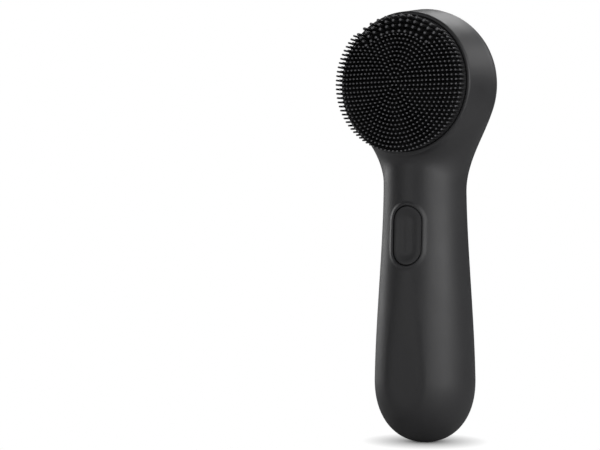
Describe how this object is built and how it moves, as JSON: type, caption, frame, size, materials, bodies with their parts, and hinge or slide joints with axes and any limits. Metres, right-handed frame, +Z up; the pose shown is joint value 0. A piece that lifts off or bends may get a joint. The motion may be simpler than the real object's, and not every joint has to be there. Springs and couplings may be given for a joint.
{
  "type": "facial cleansing brush",
  "caption": "Handheld facial cleansing brush with a round bristle head, ribbed back, soft-touch handle, push button, gloss window and a flap over the charging port.",
  "frame": {"origin": "middle of the small flat foot on the rounded lower end of the handle", "axes": "+Z up along the handle, bristles face -Y, +X to the right when looking along +Y"},
  "size_m": [0.0596, 0.0464, 0.1676],
  "materials": {
    "soft_skin": "matte soft-touch silicone, charcoal",
    "cover_silicone": "matte silicone",
    "bristle_silicone": "semi-gloss black silicone",
    "seal_rubber": "matte rubber",
    "foam": "open-cell foam",
    "window_gloss": "gloss black with an anti-glare sheen",
    "clear_plastic": "clear light-guide resin",
    "led_plastic": "cast resin",
    "housing_plastic": "moulded, fine spark texture",
    "black_plastic": "moulded",
    "stem_plastic": "moulded",
    "white_plastic": "moulded nylon",
    "board_laminate": "solder-masked laminate",
    "flex_film": "amber film",
    "lead_red": "insulated lead",
    "lead_black": "insulated lead",
    "cell_can": "shrink-sleeved can",
    "screw_steel": "zinc plated",
    "plated_steel": "nickel plated",
    "magnet_ferrite": "sintered",
    "bush_bronze": "sintered bronze",
    "armature_copper": "enamelled copper",
    "weight_metal": "sintered heavy alloy"
  },
  "bodies": {
    "handle": {"silicone_sleeve": "soft_skin", "front_housing": "housing_plastic", "rear_housing": "housing_plastic", "housing_screw_lower": "screw_steel", "housing_screw_upper": "screw_steel", "bristle_pad": "bristle_silicone", "pad_seal_ring": "seal_rubber", "pad_carrier": "housing_plastic", "carrier_screw_1": "screw_steel", "carrier_screw_2": "screw_steel", "carrier_screw_3": "screw_steel", "carrier_screw_4": "screw_steel", "switch_body": "black_plastic", "indicator_window": "window_gloss", "light_guide": "clear_plastic", "status_led_left": "led_plastic", "status_led_right": "led_plastic", "port_frame": "seal_rubber", "charge_socket": "plated_steel", "socket_tongue": "black_plastic", "charge_board": "board_laminate", "charge_chip": "black_plastic", "main_board": "board_laminate", "controller_chip": "black_plastic", "board_screw_left": "screw_steel", "board_screw_right": "screw_steel", "flex_cable": "flex_film", "battery_holder": "housing_plastic", "battery_cell": "cell_can", "battery_terminal": "plated_steel", "battery_foam": "foam", "battery_lead_red": "lead_red", "battery_lead_black": "lead_black", "motor_case": "plated_steel", "motor_end_cap": "white_plastic", "motor_magnet_left": "magnet_ferrite", "motor_magnet_right": "magnet_ferrite", "motor_bush": "bush_bronze", "motor_damper": "seal_rubber", "motor_cradle": "housing_plastic", "cradle_screw_left": "screw_steel", "cradle_screw_right": "screw_steel", "motor_lead_black": "lead_black", "motor_lead_red": "lead_red"},
    "button": {"power_button": "soft_skin"},
    "plunger": {"switch_stem": "stem_plastic"},
    "flap": {"port_cover": "cover_silicone"},
    "rotor": {"motor_shaft": "plated_steel", "motor_armature": "armature_copper", "motor_commutator": "armature_copper", "eccentric_weight": "weight_metal"}
  },
  "joints": [
    {"name": "button_press", "type": "slide", "parent": "handle", "child": "button", "axis": [0, 1, 0], "range_m": [0, 0.0005], "stiffness_N_per_m": 2000},
    {"name": "switch_plunge", "type": "slide", "parent": "handle", "child": "plunger", "axis": [0, 1, 0], "range_m": [0, 0.0005]},
    {"name": "port_cover_swing", "type": "hinge", "parent": "handle", "child": "flap", "pos_m": [0, 0.0189, 0.018], "axis": [-1, 0, 0], "range_deg": [0, 110], "stiffness_Nm_per_rad": 0.0002},
    {"name": "motor_spin", "type": "hinge", "parent": "handle", "child": "rotor", "pos_m": [0, -0.001, 0.12], "axis": [0, 0, 1], "continuous": true}
  ],
  "couplings": [
    {"joint": "switch_plunge", "follows": "button_press", "ratio": 1}
  ]
}
